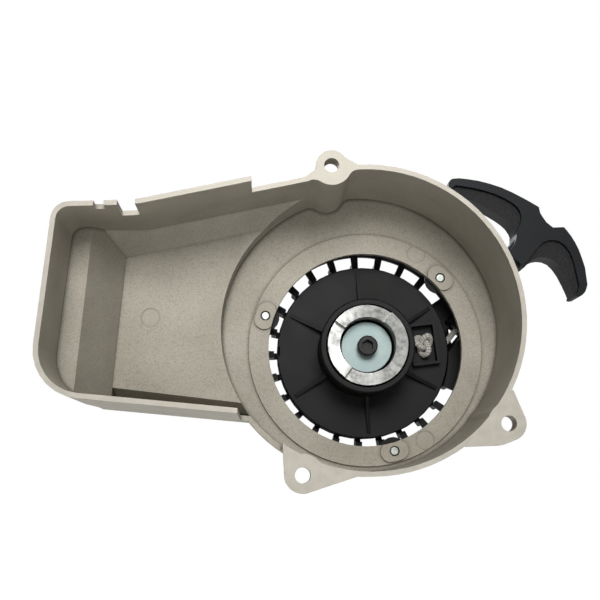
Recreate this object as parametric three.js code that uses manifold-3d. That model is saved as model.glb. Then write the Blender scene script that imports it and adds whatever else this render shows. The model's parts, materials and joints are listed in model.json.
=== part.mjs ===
// Engine side cover with a built-in recoil starter, in millimetres.
// The case frame has its origin on the reel axis in the plane that meets the engine:
// x along the long side, y across it, z towards the engine. The last group stands it upright.
import * as THREE from 'three';
import { mergeVertices } from 'three/addons/utils/BufferGeometryUtils.js';
import Module from 'manifold-3d';

const wasm = await Module();
wasm.setup();

// ---- driving dimensions ----
const GAP = 0.3; // between pieces that touch
const PAST = 2; // how far a cutter runs past the face it cuts

// cover: round bay
const WALL = 2.2;
const BAY_CENTRE = { x: -2.6, y: 8.1 };
const BAY_RADIUS = 68.4; // inside of the wall
const BAY_DEPTH = 49.4;
const FLOOR_THICKNESS = 3;
const FLOOR_HOLE_RADIUS = 47.9;
const LAND_RADIUS = 57.6; // raised ring round the hole
const LAND_HEIGHT = 1.2;

// cover: bolt ears
const EAR_THICKNESS = 9;
const BOLT_HOLE_RADIUS = 3.5;
const BOLT_RECESS_RADIUS = 7.1; // room for the bolt's head behind the ear
const BOSS_FILLET = 5; // where a boss meets the round wall
const EARS = [
  { x: -19.5, y: 78.2, radius: 7.2, web: [[-33, 71.6], [-26.6, 76.4], [-13.3, 82], [-6, 77.7], [-19, 62]] },
  { x: -32.8, y: -61.9, radius: 8, web: [[-41.4, -50.4], [-40.8, -61.9], [-31, -69.7], [-7, -61.8], [-20,
    -45]] },
  { x: 58.2, y: -39.3, radius: 7.8, web: [[60.6, -24.5], [65.2, -36], [60, -47], [55, -48.8], [38,
    -49.4], [45, -30]] },
];

// cover: long bay to the left of the round one
const RAISED_RIM = 18; // height of its rim over the mating plane
const RAISED_END_TOP = -56; // where the raised rim stops
const RAISED_END_BOTTOM = -61;
const LOW_RIM_DEPTH = 33; // rim between the lower lip and the ear
const LOW_RIM_END = -41.5;
const LONG_DEPTH = 38;
const SKIN = 3; // thickness of its floor
const LEDGE_DEPTH = 20;
const SLANT = THREE.MathUtils.degToRad(-4.43); // ledge and slope against the y axis
const SLOPE_START = -134.5; // along the slanted x
const SLOPE_END = -120;
const TOP_ANGLE = Math.atan(0.2184); // upper wall against the x axis
const TOP_POINT = { x: -34, y: 72 };
const BAND_WIDTH = 9.1; // sloping band along the upper wall
const BAND_RISE = 9;
const CHANNEL_POINT = { x: -63.3, y: -27.5 }; // where the floor drops beside the lower wall
const CHANNEL_ANGLE = Math.atan(-0.115);
const CHANNEL_SLOPE = 5;

// notches in the raised rim and round marks left by the mould's ejectors
const NOTCHES = [
  { left: -114.2, right: -106.4, bottom: 0 },
  { left: -124.4, right: -119.9, bottom: 12 },
];
const EJECTOR_MARKS = [
  { x: -104.8, y: 13, level: -LONG_DEPTH },
  { x: 26.1, y: 47.9, level: -BAY_DEPTH },
  { x: 28.6, y: -44.9, level: -BAY_DEPTH },
];
const EJECTOR_RADIUS = 4.7;

// starter housing
const HOUSING_RADIUS = 54;
const HOUSING_WALL = 2.5;
const HOUSING_FLANGE_RADIUS = 57;
const HOUSING_DEPTH = 81.5;
const HOUSING_BOSS_RADIUS = 8.5; // carries the centre post
const LUG_RADIUS = 7; // round each rivet
const WELL_CLEARANCE = 1.4;
const WELL_HEIGHT = 11.5; // narrow well round the reel, under the ledge the windows are cut in
const VENT_INNER = 34.5;
const VENT_PITCH = 14.5;
const VENT_WIDTH = 10.4;
const VENT_FIRST = 57.5;
const VENT_COUNT = 20;
const WIDE_VENT = { angle: 41.5, width: 13 };

// rivets
const RIVET_RADIUS = 2.1;
const RIVET_CIRCLE = 52;
const RIVET_ANGLES = [43.3, 162.1, 285.1];
const RIVET_HEAD_RADIUS = 4;
const PAD = { length: 13.7, width: 9.6, height: 1 };

// reel
const REEL_RADIUS = 43.6;
const REEL_TOP = -63;
const REEL_FLANGE = 2.2;
const GROOVE_WIDTH = 7.6;
const LOWER_FLANGE = 1.8;
const HUB_TOP = -37;
const RIB_COUNT = 6;
const RIB_FIRST = 33.5;
const RIB_WIDTH = 1.8;
const RIB_REACH = REEL_RADIUS - 2.4;
const RIB_HEIGHT = 5;
const POCKET = { angle: 7, radius: 31, radial: 11, tangential: 18.6, wall: 1.4, height: 4 };

// centre stack
const SCREW_RADIUS = 2.9;
const SCREW_BORE = SCREW_RADIUS + 0.4;
const SOCKET = { radius: 2.9, depth: 3.2 };
const SCREW_HEAD_RADIUS = 4.9;
const SCREW_HEAD_HEIGHT = 6;
const WASHER_RADIUS = 12.4;
const WASHER_THICKNESS = 1.6;
const WASHER_TOP = -44;
const POST_RADIUS = 5.6;
const POST_FLANGE = { radius: 8, thickness: 1 };
const BUSH_WALL = 1.5;
const BOSS_RADIUS = 11.8; // of the reel, under the washer

// dog ring
const DOG_INNER = 13.6;
const DOG_OUTER = 19.5;
const DOG_TOP = -34;
const DOG_HEIGHT = 12;
const TOOTH_HEIGHT = 3;
const TOOTH_COUNT = 4;
const TOOTH_FIRST = 54;
const HUB_INNER = DOG_OUTER + 0.8; // the reel's hub guides the ring
const HUB_OUTER = HUB_INNER + 2.7;
const SPRING_SEAT = DOG_TOP - DOG_HEIGHT - 14.5; // floor of the hub, under the ring and its spring

// springs
const DOG_SPRING = { wire: 0.8, turns: 3.5, steps: 12 };
const RECOIL = { inner: 11.4, outer: 27.4, turns: 4, steps: 16, strip: 0.5, clearance: 0.4 };
const CUP = { radius: 29, wall: 0.6 };
const SPIGOT = { inner: 9.1, outer: 10.6 };

// rope
const ROPE_RADIUS = 1.5;
const ROPE_LINE = 30; // distance of the rope's line from the reel axis
const ROPE_LEVEL = -69;
const PULL_ANGLE = THREE.MathUtils.degToRad(50.65);
const LEAD_START = 15; // along the pull line, from the point where it touches the coil
const DUCT = { start: 40, end: 61, radius: 7 };
const GUIDE = { outer: 4.2, inner: 2.1, flange: 6.4, flangeThickness: 1.5 };

// handle
const HANDLE_START = 63.4;
const HANDLE_LEVEL = -71;
const GRIP_THICKNESS = 12;
const SPINE_THICKNESS = 16;
const STEM_RADIUS = 5.4;
const KNOT_ROOM = { rope: 2, radius: 3.6, start: 102.6, end: 109.4 }; // along the pull line
const CAP = { radius: 4.6, clearance: 0.3, length: 4.6 };

// ---- solids ----
function solid(geometry) {
  geometry.deleteAttribute('normal');
  geometry.deleteAttribute('uv');
  const merged = mergeVertices(geometry, 1e-4);
  const vertProperties = new Float32Array(merged.attributes.position.array);
  const triVerts = new Uint32Array(merged.index.array);
  const result = new wasm.Manifold(new wasm.Mesh({ numProp: 3, vertProperties, triVerts }));
  if (result.volume() > 0) return result;
  triVerts.reverse();
  return new wasm.Manifold(new wasm.Mesh({ numProp: 3, vertProperties, triVerts }));
}

function geometryOf(manifold) {
  const mesh = manifold.getMesh();
  const geometry = new THREE.BufferGeometry();
  geometry.setAttribute('position', new THREE.BufferAttribute(new Float32Array(mesh.vertProperties), 3));
  geometry.setIndex(new THREE.BufferAttribute(new Uint32Array(mesh.triVerts), 1));
  return geometry;
}

// a flat outline between two heights
function prism(shape, bottom, top, curveSegments = 12) {
  const geometry = new THREE.ExtrudeGeometry(shape, { depth: top - bottom, bevelEnabled: false,
      curveSegments });
  geometry.translate(0, 0, bottom);
  return solid(geometry);
}

function polygon(points) {
  return new THREE.Shape(points.map(([x, y]) => new THREE.Vector2(x, y)));
}

function disc(centre, radius, bottom, top, segments = 48) {
  const geometry = new THREE.CylinderGeometry(radius, radius, top - bottom, segments);
  geometry.rotateX(Math.PI / 2);
  geometry.translate(centre.x, centre.y, (top + bottom) / 2);
  return solid(geometry);
}

// a closed profile of [radius, height] points turned round the reel axis
function turnedGeometry(profile, segments) {
  const closed = [...profile, profile[0]];
  const geometry = new THREE.LatheGeometry(closed.map(([r, z]) => new THREE.Vector2(r, z)), segments);
  return geometry.rotateX(Math.PI / 2);
}

function turned(profile, segments = 48) {
  return solid(turnedGeometry(profile, segments));
}

function ring(inner, outer, bottom, top, segments = 48) {
  return turned([[inner, bottom], [outer, bottom], [outer, top], [inner, top]], segments);
}

function block(x0, x1, y0, y1, z0, z1) {
  const geometry = new THREE.BoxGeometry(x1 - x0, y1 - y0, z1 - z0);
  geometry.translate((x0 + x1) / 2, (y0 + y1) / 2, (z0 + z1) / 2);
  return solid(geometry);
}

function joined(solids) {
  return solids.reduce((sum, next) => sum.add(next));
}

function polar(radius, degrees) {
  const angle = THREE.MathUtils.degToRad(degrees);
  return { x: radius * Math.cos(angle), y: radius * Math.sin(angle) };
}

// a [across, height] section run along a line in the case plane; across points to the line's left
function runAlong(section, point, angle, back, ahead) {
  const geometry = new THREE.ExtrudeGeometry(polygon(section), { depth: back + ahead, bevelEnabled: false });
  const across = new THREE.Vector3(-Math.sin(angle), Math.cos(angle), 0);
  const up = new THREE.Vector3(0, 0, 1);
  const along = new THREE.Vector3().crossVectors(across, up);
  const place = new THREE.Matrix4().makeBasis(across, up, along);
  place.setPosition(point.x - back * along.x, point.y - back * along.y, 0);
  return solid(geometry.applyMatrix4(place));
}

// an outline with rounded corners, moved inwards by inset; corners are {x, y, r}, anticlockwise
function rounded(corners, inset) {
  const count = corners.length;
  const edges = corners.map((corner, i) => {
    const next = corners[(i + 1) % count];
    const along = new THREE.Vector2(next.x - corner.x, next.y - corner.y).normalize();
    const inward = new THREE.Vector2(-along.y, along.x);
    return { along, inward, offset: inward.x * corner.x + inward.y * corner.y + inset };
  });
  const shape = new THREE.Shape();
  corners.forEach((corner, i) => {
    const before = edges[(i + count - 1) % count];
    const after = edges[i];
    const cross = before.inward.x * after.inward.y - before.inward.y * after.inward.x;
    const point = new THREE.Vector2(
      (before.offset * after.inward.y - after.offset * before.inward.y) / cross,
      (after.offset * before.inward.x - before.offset * after.inward.x) / cross,
    );
    const turn = Math.atan2(cross, before.along.dot(after.along));
    const radius = Math.max(corner.r - Math.sign(turn) * inset, 0.1);
    const reach = radius * Math.tan(Math.abs(turn) / 2);
    const start = point.clone().addScaledVector(before.along, -reach);
    const steps = Math.max(1, Math.ceil(Math.abs(turn) / 0.24));
    const centre = start.clone().addScaledVector(before.inward, Math.sign(turn) * radius);
    for (let k = 0; k <= steps; k += 1) {
      const spoke = start.clone().sub(centre).rotateAround(new THREE.Vector2(), (turn * k) / steps);
      const spot = centre.clone().add(spoke);
      if (i === 0 && k === 0) shape.moveTo(spot.x, spot.y);
      else shape.lineTo(spot.x, spot.y);
    }
  });
  return shape;
}

// ---- side cover ----
const OUTSIDE = -(BAY_DEPTH + FLOOR_THICKNESS);
const FLOOR_OUTER = -(BAY_DEPTH + LAND_HEIGHT);

function topLine(x) {
  return TOP_POINT.y + (x - TOP_POINT.x) * Math.tan(TOP_ANGLE);
}

const LONG_OUTLINE = [
  { x: -14, y: topLine(-14), r: 0.2 },
  { x: -107, y: topLine(-107), r: 25 },
  { x: -141.9, y: 54.8, r: 8 },
  { x: -149.2, y: -28.2, r: 21 },
  { x: -46, y: -37.6, r: 0.2 },
  { x: -20, y: 0, r: 0.2 },
];

const LAYOUT = {
  ledgeTop: -LEDGE_DEPTH,
  floor: -LONG_DEPTH,
  skin: -(LONG_DEPTH + SKIN),
};

// the slanted section of ledge, slope and floor, lowered by the skin for the outside
function slantedSection(drop, limit) {
  const run = SLOPE_END - SLOPE_START;
  const fall = LONG_DEPTH - LEDGE_DEPTH;
  const length = Math.hypot(run, fall);
  const shift = (drop * (length - run)) / fall;
  return [
    [-200, limit],
    [-200, LAYOUT.ledgeTop - drop],
    [SLOPE_START - shift, LAYOUT.ledgeTop - drop],
    [SLOPE_END - shift, LAYOUT.floor - drop],
    [60, LAYOUT.floor - drop],
    [60, limit],
  ];
}

function slanted(section) {
  const flipped = section.map(([x, z]) => [-x, z]);
  return runAlong(flipped, { x: 0, y: 0 }, SLANT + Math.PI / 2, 150, 150);
}

function bandSection(drop, limit) {
  const slope = Math.hypot(BAND_WIDTH, BAND_RISE) / BAND_WIDTH;
  const fall = drop * slope;
  const foot = -WALL - BAND_WIDTH;
  const outer = 12;
  return [
    [foot - 150, LAYOUT.floor - drop],
    [foot + ((fall - drop) * BAND_WIDTH) / BAND_RISE, LAYOUT.floor - drop],
    [outer, LAYOUT.floor - fall + (BAND_RISE * (outer - foot)) / BAND_WIDTH],
    [outer, limit],
    [foot - 150, limit],
  ];
}

// the boss that holds a bolt's recess, blended into the round wall on both sides
function boss(ear) {
  const radius = BOLT_RECESS_RADIUS + WALL;
  const centre = new THREE.Vector2(BAY_CENTRE.x, BAY_CENTRE.y);
  const toEar = new THREE.Vector2(ear.x, ear.y).sub(centre);
  const far = BAY_RADIUS - BOSS_FILLET;
  const near = radius + BOSS_FILLET;
  const cosine = (far ** 2 + toEar.lengthSq() - near ** 2) / (2 * far * toEar.length());
  let shape = disc(ear, radius, OUTSIDE, RAISED_RIM, 32);
  if (Math.abs(cosine) >= 1) return shape;
  for (const side of [-1, 1]) {
    const out = toEar.clone().normalize().rotateAround(new THREE.Vector2(), side * Math.acos(cosine));
    const hollow = centre.clone().addScaledVector(out, far);
    const wall = centre.clone().addScaledVector(out, BAY_RADIUS + WALL / 2);
    const corners = [[ear.x, ear.y], [hollow.x, hollow.y], [wall.x, wall.y]];
    const wedge = prism(polygon(side > 0 ? corners.reverse() : corners), OUTSIDE, RAISED_RIM);
    shape = shape.add(wedge.subtract(disc(hollow, BOSS_FILLET, OUTSIDE - PAST, RAISED_RIM + PAST, 32)));
  }
  return shape;
}

function coverHollow() {
  const bulges = joined(EARS.map(boss));
  const round = disc(BAY_CENTRE, BAY_RADIUS, FLOOR_OUTER, RAISED_RIM + PAST, 80).subtract(bulges);
  const inner = rounded(LONG_OUTLINE, WALL);
  const topBand = runAlong(bandSection(0, RAISED_RIM + PAST), TOP_POINT, TOP_ANGLE, 150, 40);
  const long = prism(inner, -BAY_DEPTH, RAISED_RIM + PAST)
    .intersect(slanted(slantedSection(0, RAISED_RIM + PAST)))
    .intersect(topBand);
  const section = [[0, LAYOUT.floor + PAST], [0, LAYOUT.floor], [-CHANNEL_SLOPE, -BAY_DEPTH], [-40,
      -BAY_DEPTH],
    [-40, LAYOUT.floor + PAST]];
  const slopeFoot = [[-SLOPE_END, -60], [-SLOPE_END, 0], [-60, 0], [-60, -60]];
  const channel = prism(inner, -60, 0)
    .intersect(runAlong(section, CHANNEL_POINT, CHANNEL_ANGLE, 120, 60))
    .intersect(runAlong(slopeFoot, { x: 0, y: 0 }, SLANT + Math.PI / 2, 150, 150))
    .subtract(bulges);
  return round.add(long.subtract(bulges)).add(channel);
}

// what the thin floor leaves open behind the long bay
function coverBack() {
  const below = OUTSIDE - PAST;
  const keep = disc(BAY_CENTRE, BAY_RADIUS + WALL, below, 0, 80);
  const aroundChannel = [[SKIN, LAYOUT.skin + 40], [SKIN, LAYOUT.skin], [-CHANNEL_SLOPE / 2, below],
      [-60, below],
    [-60, LAYOUT.skin + 40]];
  const upper = runAlong(bandSection(SKIN, below), TOP_POINT, TOP_ANGLE, 150, 40);
  return slanted(slantedSection(SKIN, below))
    .add(upper)
    .subtract(keep)
    .subtract(runAlong(aroundChannel, CHANNEL_POINT, CHANNEL_ANGLE, 64, 60));
}

function earPlate(ear) {
  return disc(ear, ear.radius, -EAR_THICKNESS, 0, 28).add(prism(polygon(ear.web), -EAR_THICKNESS, 0));
}

function rimCuts() {
  const above = RAISED_RIM + PAST;
  return joined([
    block(RAISED_END_TOP, 100, -100, 120, 0, above),
    block(RAISED_END_BOTTOM, RAISED_END_TOP + 1, -100, 0, 0, above),
    block(RAISED_END_BOTTOM, LOW_RIM_END, -70, -25, -LOW_RIM_DEPTH, above),
    ...NOTCHES.map((notch) => block(notch.left, notch.right, 44, 70, notch.bottom, above)),
  ]);
}

function padOutline() {
  const half = (PAD.length - PAD.width) / 2;
  const shape = new THREE.Shape();
  shape.absarc(0, half, PAD.width / 2, 0, Math.PI);
  shape.absarc(0, -half, PAD.width / 2, Math.PI, 2 * Math.PI);
  return shape;
}

function rivetPad(degrees) {
  const centre = polar(RIVET_CIRCLE, degrees);
  const pad = prism(padOutline(), FLOOR_OUTER - 0.5, -BAY_DEPTH + PAD.height, 6);
  return pad.rotate([0, 0, degrees]).translate([centre.x, centre.y, 0]);
}

function sideCover() {
  const outline = prism(rounded(LONG_OUTLINE, 0), OUTSIDE, RAISED_RIM);
  const round = disc(BAY_CENTRE, BAY_RADIUS + WALL, OUTSIDE, RAISED_RIM, 80);
  const recesses = joined(EARS.map((ear) => disc(ear, BOLT_RECESS_RADIUS, OUTSIDE - PAST, -EAR_THICKNESS,
      28)));
  const walls = outline.subtract(coverBack()).add(round).subtract(recesses);
  const shell = walls.add(joined(EARS.map(earPlate))).subtract(coverHollow()).subtract(rimCuts());
  const land = ring(FLOOR_HOLE_RADIUS - 1, LAND_RADIUS, FLOOR_OUTER - 0.5, -BAY_DEPTH, 64);
  const floor = shell.add(land).add(joined(RIVET_ANGLES.map(rivetPad)));
  const cuts = [
    disc({ x: 0, y: 0 }, FLOOR_HOLE_RADIUS, OUTSIDE - PAST, -BAY_DEPTH + PAST, 64),
    ...EARS.map((ear) => disc(ear, BOLT_HOLE_RADIUS, -EAR_THICKNESS - PAST, PAST, 20)),
    ...RIVET_ANGLES.map((degrees) => disc(polar(RIVET_CIRCLE, degrees), RIVET_RADIUS + 0.4,
        OUTSIDE - PAST, 0, 14)),
    ...EJECTOR_MARKS.map((mark) => disc(mark, EJECTOR_RADIUS, mark.level - 0.3, mark.level + 0.2, 18)),
  ];
  return floor.subtract(joined(cuts));
}

// ---- starter housing ----
const FLANGE_TOP = OUTSIDE - GAP;
const FLANGE_BOTTOM = FLANGE_TOP - HOUSING_WALL;
const PLATE_TOP = -HOUSING_DEPTH + HOUSING_WALL;
const SHOULDER_RADIUS = REEL_RADIUS + WELL_CLEARANCE;
const SHOULDER_DEPTH = HOUSING_DEPTH - WELL_HEIGHT;
const REEL_BOTTOM = REEL_TOP - REEL_FLANGE - GROOVE_WIDTH - LOWER_FLANGE;
const THRUST_THICKNESS = 0.7;
const THRUST_TOP = REEL_BOTTOM - GAP;
const POST_FLANGE_TOP = THRUST_TOP - THRUST_THICKNESS - GAP;
const POST_FLANGE_BOTTOM = POST_FLANGE_TOP - POST_FLANGE.thickness;
const BOSS_TOP = POST_FLANGE_BOTTOM - GAP;

function pullPoint(along, across = 0) {
  const start = ROPE_LINE + across;
  return {
    x: Math.cos(PULL_ANGLE) * along + Math.sin(PULL_ANGLE) * start,
    y: Math.sin(PULL_ANGLE) * along - Math.cos(PULL_ANGLE) * start,
  };
}

// a solid turned round the rope's line, from [radius, along] points
function turnedOnRope(profile, segments = 24) {
  const closed = [...profile, profile[0]];
  const geometry = new THREE.LatheGeometry(closed.map(([r, t]) => new THREE.Vector2(r, t)), segments);
  geometry.rotateZ(PULL_ANGLE - Math.PI / 2);
  const start = pullPoint(0);
  geometry.translate(start.x, start.y, ROPE_LEVEL);
  return solid(geometry);
}

function sector(inner, outer, degrees, width, bottom, top) {
  const half = width / 2;
  const from = THREE.MathUtils.degToRad(degrees - half);
  const to = THREE.MathUtils.degToRad(degrees + half);
  const shape = new THREE.Shape();
  shape.absarc(0, 0, outer, from, to);
  shape.absarc(0, 0, inner, to, from, true);
  return prism(shape, bottom, top, 2);
}

// a window through the back plate, up the wall of the well and through the ledge
function vent(degrees, width) {
  const outer = HOUSING_RADIUS - HOUSING_WALL - 0.7;
  return sector(VENT_INNER, outer, degrees, width, -HOUSING_DEPTH - 1, -SHOULDER_DEPTH + 1);
}

function starterHousing() {
  const inner = HOUSING_RADIUS - HOUSING_WALL;
  const outerWell = SHOULDER_RADIUS + HOUSING_WALL;
  const cup = turned([
    [inner, FLANGE_TOP], [inner, -SHOULDER_DEPTH], [SHOULDER_RADIUS, -SHOULDER_DEPTH],
    [SHOULDER_RADIUS, PLATE_TOP], [HOUSING_BOSS_RADIUS, PLATE_TOP],
    [HOUSING_BOSS_RADIUS, BOSS_TOP], [SCREW_BORE, BOSS_TOP],
    [SCREW_BORE, -HOUSING_DEPTH], [outerWell, -HOUSING_DEPTH], [outerWell, -SHOULDER_DEPTH - HOUSING_WALL],
    [HOUSING_RADIUS, -SHOULDER_DEPTH - HOUSING_WALL], [HOUSING_RADIUS, FLANGE_BOTTOM],
    [HOUSING_FLANGE_RADIUS, FLANGE_BOTTOM], [HOUSING_FLANGE_RADIUS, FLANGE_TOP],
  ], 56);
  const lugs = joined(RIVET_ANGLES.map((degrees) => {
    return disc(polar(RIVET_CIRCLE, degrees), LUG_RADIUS, FLANGE_BOTTOM, FLANGE_TOP, 18);
  }));
  const duct = turnedOnRope([[0, DUCT.start], [DUCT.radius, DUCT.start],
    [DUCT.radius, DUCT.end], [0, DUCT.end]], 18);
  const wellWall = Math.sqrt(SHOULDER_RADIUS ** 2 - ROPE_LINE ** 2); // where the rope's line meets it
  const holeStart = Math.min(DUCT.start, wellWall) - GUIDE.outer;
  const ductHole = turnedOnRope([[0, holeStart], [GUIDE.outer + GAP, holeStart],
    [GUIDE.outer + GAP, DUCT.end + PAST], [0, DUCT.end + PAST]], 18);
  const ventAngles = Array.from({ length: VENT_COUNT }, (_, k) => VENT_FIRST + k * VENT_PITCH);
  const vents = ventAngles.map((angle) => vent(angle, VENT_WIDTH));
  vents.push(vent(WIDE_VENT.angle, WIDE_VENT.width));
  const rivetHoles = RIVET_ANGLES.map((degrees) => {
    return disc(polar(RIVET_CIRCLE, degrees), RIVET_RADIUS + GAP, FLANGE_BOTTOM - 1, FLANGE_TOP + 1, 12);
  });
  const reliefs = RIVET_ANGLES.map((degrees) => {
    return disc(polar(RIVET_CIRCLE, degrees), RIVET_HEAD_RADIUS + 0.6, FLANGE_BOTTOM - 3, FLANGE_BOTTOM, 14);
  });
  return cup.add(lugs).add(duct).subtract(joined([ductHole, ...vents, ...rivetHoles, ...reliefs]));
}

function rivet(degrees) {
  const top = -BAY_DEPTH + PAD.height - 0.2;
  const head = FLANGE_BOTTOM - GAP;
  const shape = turned([[0, top], [RIVET_RADIUS - 0.3, top], [RIVET_RADIUS, top - 0.3], [RIVET_RADIUS, head],
    [RIVET_HEAD_RADIUS, head], [RIVET_HEAD_RADIUS - 0.6, head - 1.1], [1.8, head - 1.7],
    [0, head - 1.7]], 12);
  const centre = polar(RIVET_CIRCLE, degrees);
  return shape.translate([centre.x, centre.y, 0]);
}

// ---- centre stack ----
const WASHER_BOTTOM = WASHER_TOP - WASHER_THICKNESS;
const BUSH_OUTER = POST_RADIUS + GAP + BUSH_WALL;
const POST_TOP = WASHER_BOTTOM - GAP;

function centrePost() {
  return turned([[SCREW_BORE, POST_TOP], [POST_RADIUS, POST_TOP], [POST_RADIUS, POST_FLANGE_TOP],
    [POST_FLANGE.radius, POST_FLANGE_TOP], [POST_FLANGE.radius, POST_FLANGE_BOTTOM],
    [SCREW_BORE, POST_FLANGE_BOTTOM]], 20);
}

function reelBush() {
  return ring(POST_RADIUS + GAP, BUSH_OUTER, REEL_BOTTOM, POST_TOP - GAP, 20);
}

function thrustWasher() {
  return ring(POST_RADIUS + GAP, SPIGOT.inner - 0.5, THRUST_TOP - THRUST_THICKNESS, THRUST_TOP, 20);
}

function retainingWasher() {
  return ring(SCREW_BORE, WASHER_RADIUS, WASHER_BOTTOM, WASHER_TOP, 32);
}

function centreScrew() {
  const seat = WASHER_TOP + GAP;
  const top = seat + SCREW_HEAD_HEIGHT;
  const body = turned([[0, top], [SCREW_HEAD_RADIUS - 0.5, top], [SCREW_HEAD_RADIUS, top - 0.5],
    [SCREW_HEAD_RADIUS, seat], [SCREW_RADIUS, seat], [SCREW_RADIUS, -HOUSING_DEPTH + 1],
    [0, -HOUSING_DEPTH + 1]], 20);
  const socket = new THREE.CylinderGeometry(SOCKET.radius, SOCKET.radius, 2 * SOCKET.depth, 6);
  socket.rotateX(Math.PI / 2);
  socket.translate(0, 0, top);
  return body.subtract(solid(socket));
}

// ---- reel ----
function reelRib(degrees) {
  const shape = polygon([[HUB_INNER + 1, REEL_TOP - 0.5], [RIB_REACH, REEL_TOP - 0.5], [RIB_REACH,
      REEL_TOP + 0.8],
    [HUB_INNER + 1, REEL_TOP + RIB_HEIGHT]]);
  const geometry = new THREE.ExtrudeGeometry(shape, { depth: RIB_WIDTH, bevelEnabled: false });
  geometry.translate(0, 0, -RIB_WIDTH / 2);
  geometry.rotateX(Math.PI / 2);
  geometry.rotateZ(THREE.MathUtils.degToRad(degrees));
  return solid(geometry);
}

function pocketBlock(grow, bottom, top) {
  const halfRadial = POCKET.radial / 2 + grow;
  const halfTangential = POCKET.tangential / 2 + grow;
  const centre = POCKET.radius;
  const box = block(centre - halfRadial, centre + halfRadial, -halfTangential, halfTangential, bottom, top);
  return box.rotate([0, 0, POCKET.angle]);
}

function reel() {
  const flangeBottom = REEL_TOP - REEL_FLANGE;
  const grooveBottom = flangeBottom - GROOVE_WIDTH;
  const core = ROPE_LINE - 3 * ROPE_RADIUS - GAP;
  const bore = BUSH_OUTER + GAP;
  const bossTop = WASHER_BOTTOM - GAP;
  const body = turned([
    [bore, bossTop], [BOSS_RADIUS, bossTop], [BOSS_RADIUS, SPRING_SEAT], [HUB_INNER, SPRING_SEAT],
    [HUB_INNER, HUB_TOP], [HUB_OUTER - 0.6, HUB_TOP], [HUB_OUTER, HUB_TOP - 0.6], [HUB_OUTER, REEL_TOP],
    [REEL_RADIUS - 0.5, REEL_TOP], [REEL_RADIUS, REEL_TOP - 0.6], [REEL_RADIUS, flangeBottom],
    [core, flangeBottom], [core, grooveBottom], [REEL_RADIUS, grooveBottom], [REEL_RADIUS, REEL_BOTTOM],
    [SPIGOT.outer, REEL_BOTTOM], [SPIGOT.outer, REEL_BOTTOM - 3], [SPIGOT.inner, REEL_BOTTOM - 3],
    [SPIGOT.inner, REEL_BOTTOM], [bore, REEL_BOTTOM],
  ], 48);
  const ribs = [];
  for (let k = 0; k < RIB_COUNT; k += 1) ribs.push(reelRib(RIB_FIRST + (k * 360) / RIB_COUNT));
  const border = pocketBlock(POCKET.wall, REEL_TOP - 0.5, REEL_TOP + POCKET.height);
  const pocket = pocketBlock(0, REEL_TOP - 1, REEL_TOP + POCKET.height + PAST)
    .subtract(disc({ x: 0, y: 0 }, HUB_OUTER, REEL_TOP - PAST, HUB_TOP, 48));
  const edgeNotch = block(-REEL_RADIUS - 1, -REEL_RADIUS + 1.6, -2.5, 2.5, flangeBottom - 1, REEL_TOP + 1);
  const ropeHole = disc(polar(POCKET.radius, POCKET.angle), ROPE_RADIUS + GAP, flangeBottom - 1,
      REEL_TOP, 12);
  return body.add(joined(ribs)).add(border).subtract(joined([pocket, edgeNotch, ropeHole]));
}

function dogRing() {
  const low = DOG_TOP - TOOTH_HEIGHT;
  const body = ring(DOG_INNER, DOG_OUTER, DOG_TOP - DOG_HEIGHT, DOG_TOP, 40);
  const step = 360 / TOOTH_COUNT;
  const cuts = [];
  for (let k = 0; k < TOOTH_COUNT; k += 1) {
    const high = TOOTH_FIRST + k * step;
    cuts.push(ramp(high - step, high, low));
  }
  return body.subtract(joined(cuts));
}

// the space over one tooth, which rises from low at the first angle to the top at the second
function ramp(from, to, low) {
  const slices = 5;
  const positions = [];
  const index = [];
  const over = DOG_TOP + 1;
  for (let k = 0; k <= slices; k += 1) {
    const share = k / slices;
    const height = THREE.MathUtils.lerp(low, DOG_TOP + 0.01, share);
    for (const radius of [DOG_INNER - 1, DOG_OUTER + 1]) {
      const spot = polar(radius, THREE.MathUtils.lerp(from, to, share));
      positions.push(spot.x, spot.y, height, spot.x, spot.y, over);
    }
  }
  for (let k = 0; k < slices; k += 1) {
    const a = k * 4;
    const b = a + 4;
    for (const [p, q] of [[0, 1], [1, 3], [3, 2], [2, 0]]) {
      index.push(a + p, b + p, b + q, a + p, b + q, a + q);
    }
  }
  const last = slices * 4;
  index.push(0, 1, 3, 0, 3, 2, last, last + 3, last + 1, last, last + 2, last + 3);
  const geometry = new THREE.BufferGeometry();
  geometry.setAttribute('position', new THREE.Float32BufferAttribute(positions, 3));
  geometry.setIndex(index);
  return solid(geometry);
}

class Helix extends THREE.Curve {
  constructor(radius, bottom, top, turns) {
    super();
    Object.assign(this, { radius, bottom, top, turns });
  }

  getPoint(share, target = new THREE.Vector3()) {
    const angle = share * this.turns * 2 * Math.PI;
    const height = THREE.MathUtils.lerp(this.bottom, this.top, share);
    return target.set(this.radius * Math.cos(angle), this.radius * Math.sin(angle), height);
  }
}

function circleShape(radius, sides) {
  const points = [];
  for (let k = 0; k < sides; k += 1) {
    const angle = (2 * Math.PI * k) / sides;
    points.push([radius * Math.cos(angle), radius * Math.sin(angle)]);
  }
  return polygon(points);
}

function tube(curve, radius, sides, steps) {
  const section = circleShape(radius, sides);
  return solid(new THREE.ExtrudeGeometry(section, { steps, extrudePath: curve, bevelEnabled: false }));
}

function dogSpring() {
  const bottom = SPRING_SEAT + DOG_SPRING.wire + GAP;
  const top = DOG_TOP - DOG_HEIGHT - DOG_SPRING.wire - GAP;
  const curve = new Helix((BOSS_RADIUS + HUB_INNER) / 2, bottom, top, DOG_SPRING.turns);
  return tube(curve, DOG_SPRING.wire, 5, Math.round(DOG_SPRING.turns * DOG_SPRING.steps));
}

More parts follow.
